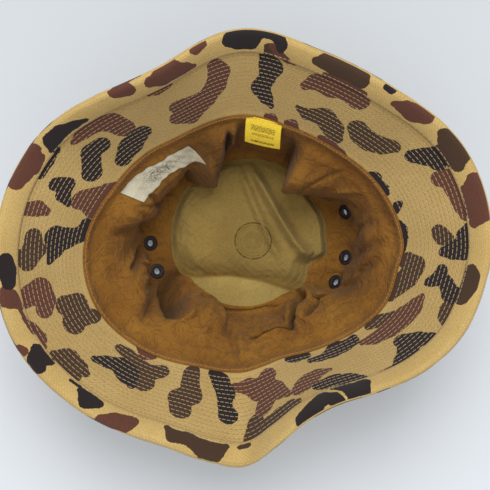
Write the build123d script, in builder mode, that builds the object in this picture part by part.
"""A soft bucket hat, lying on the top of its crown with its brim up.

The hat is modelled as the layers it is sewn from. Z is up and runs out of the head opening. X runs from
the wearer's left to right side and Y from front to back. The origin is on the surface the hat lies on,
below the middle of the head opening. Sizes are in millimetres and angles in degrees.
"""

from build123d import *

import math
import os

# Overall sizes.
HEAD_CIRCUMFERENCE = 612.0  # round the outside of the head seam, for a head of about 593
HEAD_SEAM_HEIGHT = 69.0  # the head seam above the table, with the crown slumped on its top
BRIM_WIDTH = 65.0
TIP_LENGTH = 125.0  # the oval top panel, along X
TIP_WIDTH = 117.0  # and along Y
TIP_SHIFT_X = 5.0  # how far the soft crown leans from the middle of the opening
TIP_SHIFT_Y = 6.5

# Cloth thicknesses.
SHELL_CLOTH = 0.7
LINING_CLOTH = 0.4
SWEATBAND_CLOTH = 0.8
TAPE_CLOTH = 0.8
BRIM_CLOTH = 0.6
STIFFENER_CLOTH = 0.7
BAND_CLOTH = 0.6
LABEL_CLOTH = 0.4
LAYER_GAP = 0.12  # between two layers that lie on each other
BUTT_GAP = 0.1  # between two edges that are sewn together
BAND_EASE = 0.35  # between the brim and the strip folded round its edge
STITCH_EASE = 0.15  # between a line of stitching and the cloth it lies on

# Widths of the strips.
SWEATBAND_WIDTH = 38.0
SWEATBAND_LAP = 3.0  # how far its upper edge laps onto the brim
TAPE_WIDTH = 9.0
BAND_WIDTH = 13.5  # the folded strip round the brim's edge, on each face

# Stitching.
THREAD = 0.4
TOPSTITCH_FROM_EDGE = 1.2

# Ventilation eyelets.
EYELET_METAL = 0.4
EYELET_BORE = 5.0
EYELET_BARREL = EYELET_BORE + 2 * EYELET_METAL
EYELET_RING = 2.7  # from the barrel to the edge of the flange, and of the washer
EYELET_FLANGE = EYELET_BARREL + 2 * EYELET_RING
EYELET_HOLE_PLAY = 0.3  # on the diameter of the hole in the cloth
EYELET_SEATING_OUTSIDE = 0.1  # the flange stands this far off the hollow of the cloth
EYELET_SEATING_INSIDE = 0.8  # the washer bridges the hollow of the lining
EYELET_FROM_TIP = 14.5  # from the tip seam, along the wall
EYELETS = {
    "eyelet_right_back": 17.0,
    "eyelet_right_middle": -8.0,
    "eyelet_right_front": -23.0,
    "eyelet_left_back": 139.0,
    "eyelet_left_middle": 180.0,
    "eyelet_left_front": 198.0,
}

# Labels.
MAKER_LABEL_LENGTH = 54.0
MAKER_LABEL_WIDTH = 18.0
MAKER_LABEL_DIRECTION = 138.0
MAKER_LABEL_DROP = 9.5  # from the head seam to the label's upper edge
SIZE_LABEL_WIDTH = 25.0
SIZE_LABEL_LENGTH = 17.0
SIZE_LABEL_DIRECTION = 80.0
SIZE_LABEL_FOLD = 0.2  # between the two leaves of the folded label
SIZE_LABEL_CLEARANCE = 2.4  # from the sweatband's curve to the flat label's hinge line
SIZE_LABEL_LIFT = 37.0  # how far it stands off the hanging position, in degrees

# How the hat lies: direction, head seam radius as a share of the mean one, and slope of the brim.
STATIONS = (
    (0.0, 1.125, 43.0),
    (22.0, 1.040, 35.0),
    (45.0, 0.930, 45.5),
    (68.0, 0.885, 48.0),
    (90.0, 0.900, 44.0),
    (112.0, 0.880, 57.0),
    (124.0, 0.885, 57.0),
    (136.0, 0.925, 52.0),
    (158.0, 0.995, 34.0),
    (180.0, 1.110, 42.5),
    (202.0, 1.125, 42.0),
    (225.0, 1.035, 44.0),
    (248.0, 0.930, 44.0),
    (262.0, 0.910, 36.0),
    (270.0, 0.900, 30.0),
    (279.0, 0.875, 47.0),
    (289.0, 0.860, 59.0),
    (301.0, 0.900, 65.0),
    (313.0, 0.955, 61.0),
    (325.0, 1.025, 54.0),
    (337.0, 1.090, 49.0),
    (350.0, 1.100, 43.0),
)
RADIUS_SHARE, BRIM_SLOPE = 1, 2
BACK, FRONT, FULL_TURN = 90.0, 270.0, 360.0
SECTION_STEP = 5.0  # between two sections of a loft
PROFILE_STEP = 7.5  # between two points on the curve of the crown wall in one section
WALL_T_STEP = 0.01  # the wall is measured along in steps of this much of its t

# The crown wall's profile, a Bezier curve from the tip seam to the head seam, as shares of its run and rise.
WALL_RUN = (0.0, 0.55, 0.72, 1.0)
WALL_RISE = (0.0, 0.0, 0.42, 1.0)


# ---------------------------------------------------------------- the lie of the hat


def around(direction, column):
    """The value of one column of STATIONS in any direction, on a smooth closed curve through them."""
    direction %= FULL_TURN
    count = len(STATIONS)
    here = max(i for i in range(count) if STATIONS[i][0] <= direction)

    def knot(i):
        turns, place = divmod(i, count)
        return STATIONS[place][0] + turns * FULL_TURN, STATIONS[place][column]

    (a0, v0), (a1, v1), (a2, v2), (a3, v3) = (knot(here + k) for k in (-1, 0, 1, 2))
    span = a2 - a1
    u = (direction - a1) / span
    start_slope = (v2 - v0) / (a2 - a0) * span
    end_slope = (v3 - v1) / (a3 - a1) * span
    return (
        (2 * u**3 - 3 * u**2 + 1) * v1
        + (u**3 - 2 * u**2 + u) * start_slope
        + (3 * u**2 - 2 * u**3) * v2
        + (u**3 - u**2) * end_slope
    )


def seam_radius(direction):
    """Radius of the head seam's outer face in one direction."""
    return HEAD_CIRCUMFERENCE / (2 * math.pi) * around(direction, RADIUS_SHARE)


def tip_radius(direction):
    """Distance from the Z axis to the tip seam, an oval whose middle is shifted off that axis."""
    c, s = math.cos(math.radians(direction)), math.sin(math.radians(direction))
    a, b = TIP_LENGTH / 2, TIP_WIDTH / 2
    square = (c / a) ** 2 + (s / b) ** 2
    linear = c * TIP_SHIFT_X / a**2 + s * TIP_SHIFT_Y / b**2
    constant = (TIP_SHIFT_X / a) ** 2 + (TIP_SHIFT_Y / b) ** 2 - 1
    return (linear + math.sqrt(linear**2 - square * constant)) / square


def bezier(shares, t):
    """A cubic Bezier curve's value and derivative at t."""
    p0, p1, p2, p3 = shares
    u = 1 - t
    value = u**3 * p0 + 3 * u**2 * t * p1 + 3 * u * t**2 * p2 + t**3 * p3
    slope = 3 * (u**2 * (p1 - p0) + 2 * u * t * (p2 - p1) + t**2 * (p3 - p2))
    return value, slope


def wall(direction, t, inset):
    """A point (radius, height) of the crown wall, inset inwards from its outer face. t is 0 at the tip."""
    inner, outer = tip_radius(direction), seam_radius(direction)
    run, run_slope = bezier(WALL_RUN, t)
    rise, rise_slope = bezier(WALL_RISE, t)
    along_r, along_z = run_slope * (outer - inner), rise_slope * HEAD_SEAM_HEIGHT
    length = math.hypot(along_r, along_z)
    radius = inner + run * (outer - inner) - inset * along_z / length
    return radius, rise * HEAD_SEAM_HEIGHT + inset * along_r / length


def wall_t(direction, drop):
    """The wall's t at a distance down the wall from the head seam."""
    t, gone = 1.0, 0.0
    here = wall(direction, t, 0.0)
    while t > 0:
        there = wall(direction, t - WALL_T_STEP, 0.0)
        stride = math.dist(here, there)
        if gone + stride >= drop:
            return t - WALL_T_STEP * (drop - gone) / stride
        t -= WALL_T_STEP
        gone += stride
        here = there
    return 0.0


def joint_line(direction):
    """The unit vector along which the wall's layers and the brim's layers meet at the head seam."""
    slope = math.radians(around(direction, BRIM_SLOPE))
    _, run_slope = bezier(WALL_RUN, 1.0)
    _, rise_slope = bezier(WALL_RISE, 1.0)
    along_r = run_slope * (seam_radius(direction) - tip_radius(direction))
    along_z = rise_slope * HEAD_SEAM_HEIGHT
    wall_angle = math.atan2(along_z, along_r)
    middle = (wall_angle + slope) / 2
    stretch = 1 / math.cos((wall_angle - slope) / 2)
    return -math.sin(middle) * stretch, math.cos(middle) * stretch


def brim(direction, out, inset):
    """A point (radius, height) of the brim, at a distance out from the head seam, above its lower face."""
    slope = math.radians(around(direction, BRIM_SLOPE))
    joint_r, joint_z = joint_line(direction)
    radius = seam_radius(direction) + joint_r * inset + out * math.cos(slope)
    return radius, HEAD_SEAM_HEIGHT + joint_z * inset + out * math.sin(slope)


def wall_top(direction, inset):
    """The upper end of a layer of the wall, on the joint line, a butt gap short of the brim."""
    joint_r, joint_z = joint_line(direction)
    return seam_radius(direction) + joint_r * inset, HEAD_SEAM_HEIGHT + joint_z * inset - BUTT_GAP


def wall_curve(direction, start, end, inset, width):
    """Points along the wall from t start to t end. A curve that reaches t 1 ends on the joint line.

    The width of the layer sets how many points there are, which is the same in every direction.
    """
    count = max(2, round(width / PROFILE_STEP))
    points = [wall(direction, start + (end - start) * i / count, inset) for i in range(count + 1)]
    if end == 1.0:
        points[-1] = wall_top(direction, inset)
    return points


def in_space(direction, point):
    """A (radius, height) point in one direction as a point in space."""
    a = math.radians(direction)
    return Vector(point[0] * math.cos(a), point[0] * math.sin(a), point[1])


# ---------------------------------------------------------------- lofted sheets


def radial_plane(direction):
    """The upright plane through the Z axis in one direction, with its own x outwards and y up."""
    a = math.radians(direction)
    x_dir = Vector(math.cos(a), math.sin(a), 0)
    return Plane(origin=(0, 0, 0), x_dir=x_dir, z_dir=x_dir.cross(Vector(0, 0, 1)))


def directions(start, end):
    """The directions of a loft's sections from start to end, about SECTION_STEP apart."""
    count = max(2, round((end - start) / SECTION_STEP))
    return [start + (end - start) * i / count for i in range(count + 1)]


LEFT_HALF = directions(BACK, FRONT)
RIGHT_HALF = directions(FRONT, BACK + FULL_TURN)


def loft_sections(section, sweep):
    """Lofts the closed outline that section(direction) draws through each direction of the sweep.

    It is called inside a BuildPart block. section returns a list of runs: a run of two points is a
    straight edge and a longer one is a spline.
    """
    outlines = []
    for direction in sweep:
        with BuildSketch(radial_plane(direction)) as outline:
            with BuildLine():
                for run in section(direction):
                    if len(run) == 2:
                        Line(*run)
                    else:
                        Spline(*run)
            make_face()
        outlines.append(outline.sketch)
    loft(outlines)


def loft_ring(section):
    """Lofts an outline all the way round, as two halves that are joined at the back and the front."""
    loft_sections(section, LEFT_HALF)
    loft_sections(section, RIGHT_HALF)


def closed_runs(*curves):
    """Joins curves end to end into a closed outline, with a straight edge across each opening."""
    runs = []
    for curve, following in zip(curves, curves[1:] + curves[:1]):
        if len(curve) > 1:
            runs.append(curve)
        if math.dist(curve[-1], following[0]) > 1e-6:
            runs.append([curve[-1], following[0]])
    return runs


def wall_layer(inset, thickness):
    """Section of a layer that covers the whole crown wall, from the tip seam to the head seam."""

    def section(direction):
        outer, inner = (
            wall_curve(direction, 0.0, 1.0, depth, HEAD_SEAM_HEIGHT) for depth in (inset, inset + thickness)
        )
        return closed_runs(outer, inner[::-1])

    return section


def brim_layer(inset, thickness, start=0.0, end=BRIM_WIDTH):
    """Section of a layer of the brim, between two distances from the head seam."""

    def section(direction):
        corners = ((start, inset), (end, inset), (end, inset + thickness), (start, inset + thickness))
        return closed_runs(*([brim(direction, out, depth)] for out, depth in corners))

    return section


# ---------------------------------------------------------------- the layers, from the outside in

LINING_INSET = SHELL_CLOTH + LAYER_GAP
TAPE_INSET = LINING_INSET + LINING_CLOTH + LAYER_GAP
SWEATBAND_INSET = TAPE_INSET + TAPE_CLOTH + LAYER_GAP
STIFFENER_INSET = BRIM_CLOTH + LAYER_GAP
BRIM_UNDER_INSET = STIFFENER_INSET + STIFFENER_CLOTH + LAYER_GAP
BRIM_STACK = BRIM_UNDER_INSET + BRIM_CLOTH
LABEL_INSET = SWEATBAND_INSET + SWEATBAND_CLOTH + LAYER_GAP
BAND_START = BRIM_WIDTH - BAND_WIDTH


def wall_frame(direction, drop_from_tip, inset):
    """The plane that touches the wall at a distance from the tip seam, with its z pointing inwards."""
    t, gone = 0.0, 0.0
    while gone < drop_from_tip:
        gone += math.dist(wall(direction, t, 0.0), wall(direction, t + WALL_T_STEP, 0.0))
        t += WALL_T_STEP
    delta = 0.5
    middle = in_space(direction, wall(direction, t, inset))
    across = in_space(direction + delta, wall(direction + delta, t, inset)) - in_space(
        direction - delta, wall(direction - delta, t, inset)
    )
    up = in_space(direction, wall(direction, t + WALL_T_STEP, inset)) - in_space(
        direction, wall(direction, t - WALL_T_STEP, inset)
    )
    return Plane(origin=middle, x_dir=across, z_dir=up.cross(across))


def eyelet_plane(name):
    """The plane of an eyelet on the shell's outer face, with its z pointing into the hat."""
    return wall_frame(EYELETS[name], EYELET_FROM_TIP, 0.0)


def cut_eyelet_holes(names):
    """Cuts the hole for each named eyelet through the layer being built."""
    reach = 4 * (LINING_INSET + LINING_CLOTH)
    for name in names:
        with BuildSketch(eyelet_plane(name)) as hole:
            Circle((EYELET_BARREL + EYELET_HOLE_PLAY) / 2)
        extrude(hole.sketch, amount=reach / 2, both=True, mode=Mode.SUBTRACT)


LEFT_EYELETS = [name for name in EYELETS if "_left_" in name]
RIGHT_EYELETS = [name for name in EYELETS if "_right_" in name]


def tip_oval(inset):
    """Draws the tip panel's oval, inset from the tip seam."""
    with Locations((TIP_SHIFT_X, TIP_SHIFT_Y)):
        Ellipse(TIP_LENGTH / 2 - inset, TIP_WIDTH / 2 - inset)


def keep(name, part):
    """Labels a finished piece and writes it."""
    part.label = name
    export_step(part, f"parts/{name}.step")


os.makedirs("parts", exist_ok=True)


with BuildPart() as crown_tip:
    with BuildSketch():
        tip_oval(BUTT_GAP)
    extrude(amount=SHELL_CLOTH)
keep("crown_tip", crown_tip.part)

with BuildPart() as tip_lining:
    with BuildSketch(Plane.XY.offset(LINING_INSET)):
        tip_oval(BUTT_GAP)
    extrude(amount=LINING_CLOTH)
keep("tip_lining", tip_lining.part)

with BuildPart() as crown_side_left:
    loft_sections(wall_layer(0.0, SHELL_CLOTH), LEFT_HALF)
    cut_eyelet_holes(LEFT_EYELETS)
keep("crown_side_left", crown_side_left.part)

with BuildPart() as crown_side_right:
    loft_sections(wall_layer(0.0, SHELL_CLOTH), RIGHT_HALF)
    cut_eyelet_holes(RIGHT_EYELETS)
keep("crown_side_right", crown_side_right.part)

with BuildPart() as side_lining_left:
    loft_sections(wall_layer(LINING_INSET, LINING_CLOTH), LEFT_HALF)
    cut_eyelet_holes(LEFT_EYELETS)
keep("side_lining_left", side_lining_left.part)

with BuildPart() as side_lining_right:
    loft_sections(wall_layer(LINING_INSET, LINING_CLOTH), RIGHT_HALF)
    cut_eyelet_holes(RIGHT_EYELETS)
keep("side_lining_right", side_lining_right.part)


def tape_section(direction):
    """The seam tape, a strip that covers the raw edges at the head seam on the inside of the wall."""
    start = wall_t(direction, TAPE_WIDTH)
    outer, inner = (
        wall_curve(direction, start, 1.0, depth, TAPE_WIDTH) for depth in (TAPE_INSET, TAPE_INSET + TAPE_CLOTH)
    )
    return closed_runs(outer, inner[::-1])


def sweatband_section(direction):
    """The sweatband, up the wall and a short way onto the brim."""
    start = wall_t(direction, SWEATBAND_WIDTH)
    faces = []
    for inset in (SWEATBAND_INSET, SWEATBAND_INSET + SWEATBAND_CLOTH):
        wall_face = wall_curve(direction, start, 1.0, inset, SWEATBAND_WIDTH)
        wall_face[-1] = brim(direction, 0.0, inset)
        faces.append((wall_face, [wall_face[-1], brim(direction, SWEATBAND_LAP, inset)]))
    (outer_wall, outer_lap), (inner_wall, inner_lap) = faces
    return closed_runs(outer_wall, outer_lap, inner_lap[::-1], inner_wall[::-1])


with BuildPart() as head_seam_tape:
    loft_ring(tape_section)
keep("head_seam_tape", head_seam_tape.part)

with BuildPart() as sweatband:
    loft_ring(sweatband_section)
keep("sweatband", sweatband.part)

# The brim: two cloth faces with a stiffener between them, each in two halves sewn at the front and back.
BRIM_LAYERS = {
    "brim_top": (0.0, BRIM_CLOTH, BRIM_WIDTH),
    "brim_stiffener": (STIFFENER_INSET, STIFFENER_CLOTH, BRIM_WIDTH - BUTT_GAP),
    "brim_under": (BRIM_UNDER_INSET, BRIM_CLOTH, BRIM_WIDTH),
}
for layer_name, (layer_inset, layer_cloth, layer_end) in BRIM_LAYERS.items():
    for side, half in (("left", LEFT_HALF), ("right", RIGHT_HALF)):
        with BuildPart() as brim_half:
            loft_sections(brim_layer(layer_inset, layer_cloth, end=layer_end), half)
        keep(f"{layer_name}_{side}", brim_half.part)


def band_section(direction):
    """The edge band, a strip folded round the brim's edge."""
    low, high = -BAND_EASE, BRIM_STACK + BAND_EASE
    fold = BRIM_WIDTH + BAND_EASE
    corners = (
        (BAND_START, low - BAND_CLOTH),
        (fold + BAND_CLOTH, low - BAND_CLOTH),
        (fold + BAND_CLOTH, high + BAND_CLOTH),
        (BAND_START, high + BAND_CLOTH),
        (BAND_START, high),
        (fold, high),
        (fold, low),
        (BAND_START, low),
    )
    return closed_runs(*([brim(direction, out, inset)] for out, inset in corners))


with BuildPart() as brim_edge_band:
    loft_ring(band_section)
keep("brim_edge_band", brim_edge_band.part)


# ---------------------------------------------------------------- stitching


def thread_section(out, inset):
    """Section of one line of stitching that lies on the brim at a distance from the head seam."""
    return brim_layer(inset, THREAD, out - THREAD / 2, out + THREAD / 2)


band_line = BAND_START + TOPSTITCH_FROM_EDGE
with BuildPart() as edge_band_topstitch:
    for thread_inset in (
        BRIM_STACK + BAND_EASE + BAND_CLOTH + STITCH_EASE,
        -BAND_EASE - BAND_CLOTH - STITCH_EASE - THREAD,
    ):
        loft_ring(thread_section(band_line, thread_inset))
keep("edge_band_topstitch", edge_band_topstitch.part)

with BuildPart() as sweatband_topstitch:
    lap_line = SWEATBAND_LAP - TOPSTITCH_FROM_EDGE
    lap_face = SWEATBAND_INSET + SWEATBAND_CLOTH + STITCH_EASE
    loft_ring(thread_section(lap_line, lap_face))
keep("sweatband_topstitch", sweatband_topstitch.part)


# ---------------------------------------------------------------- eyelets


def build_eyelet(name):
    """An eyelet: a barrel through the cloth, a flange outside and a rolled rim that holds the washer."""
    outside = -EYELET_SEATING_OUTSIDE
    inside = LINING_INSET + LINING_CLOTH + EYELET_SEATING_INSIDE + EYELET_METAL + BUTT_GAP
    bore, barrel, flange = EYELET_BORE / 2, EYELET_BARREL / 2, EYELET_FLANGE / 2
    roll = barrel + EYELET_METAL
    place = eyelet_plane(name)
    section_plane = Plane(origin=place.origin, x_dir=place.x_dir, z_dir=-place.y_dir)
    with BuildPart() as eyelet:
        with BuildSketch(section_plane) as profile:
            with BuildLine():
                Polyline(
                    (bore, outside - EYELET_METAL),
                    (flange, outside - EYELET_METAL),
                    (flange, outside),
                    (barrel, outside),
                    (barrel, inside),
                    (roll, inside),
                    (roll, inside + EYELET_METAL),
                    (bore, inside + EYELET_METAL),
                    close=True,
                )
            make_face()
        revolve(profile.sketch, axis=Axis(place.origin, place.z_dir))
    return eyelet.part


def build_washer(name):
    """The flat ring that an eyelet is clinched over, on the lining."""
    place = eyelet_plane(name)
    seat = place.offset(LINING_INSET + LINING_CLOTH + EYELET_SEATING_INSIDE)
    with BuildPart() as washer:
        with BuildSketch(seat) as ring:
            Circle(EYELET_FLANGE / 2)
            Circle((EYELET_BARREL + BUTT_GAP) / 2, mode=Mode.SUBTRACT)
        extrude(ring.sketch, amount=EYELET_METAL)
    return washer.part


for eyelet_name in EYELETS:
    keep(eyelet_name, build_eyelet(eyelet_name))
    keep(eyelet_name.replace("eyelet", "washer"), build_washer(eyelet_name))


# ---------------------------------------------------------------- labels

label_reach = math.degrees(MAKER_LABEL_LENGTH / 2 / seam_radius(MAKER_LABEL_DIRECTION))
with BuildPart() as maker_label:

    def maker_label_section(direction):
        """The maker's label, a strip sewn flat on the sweatband below the head seam."""
        top = wall_t(direction, MAKER_LABEL_DROP)
        bottom = wall_t(direction, MAKER_LABEL_DROP + MAKER_LABEL_WIDTH)
        outer, inner = (
            wall_curve(direction, bottom, top, depth, MAKER_LABEL_WIDTH)
            for depth in (LABEL_INSET, LABEL_INSET + LABEL_CLOTH)
        )
        return closed_runs(outer, inner[::-1])

    loft_sections(
        maker_label_section,
        directions(MAKER_LABEL_DIRECTION - label_reach, MAKER_LABEL_DIRECTION + label_reach),
    )
keep("maker_label", maker_label.part)


def size_label_plane():
    """The size label's plane, lifted off the sweatband: x along its hinge line and y from the label up to it."""
    direction = SIZE_LABEL_DIRECTION
    inset = SWEATBAND_INSET + SWEATBAND_CLOTH
    top = in_space(direction, wall(direction, 1.0, inset))
    low = in_space(direction, wall(direction, wall_t(direction, SIZE_LABEL_LENGTH), inset))
    delta = 2.0
    across = in_space(direction - delta, wall(direction - delta, 1.0, inset)) - in_space(
        direction + delta, wall(direction + delta, 1.0, inset)
    )
    inwards = across.cross(top - low)
    hanging = Plane(origin=top, x_dir=across, z_dir=inwards).offset(SIZE_LABEL_CLEARANCE)
    facing = hanging.z_dir.rotate(Axis((0, 0, 0), hanging.x_dir), -SIZE_LABEL_LIFT)
    return Plane(origin=hanging.origin, x_dir=hanging.x_dir, z_dir=facing)


with BuildPart() as size_label:
    with BuildSketch(size_label_plane().offset(-LABEL_CLOTH - SIZE_LABEL_FOLD / 2)):
        with Locations((0, -SIZE_LABEL_LENGTH / 2)):
            Rectangle(SIZE_LABEL_WIDTH, SIZE_LABEL_LENGTH)
    extrude(amount=2 * LABEL_CLOTH + SIZE_LABEL_FOLD)
keep("size_label", size_label.part)
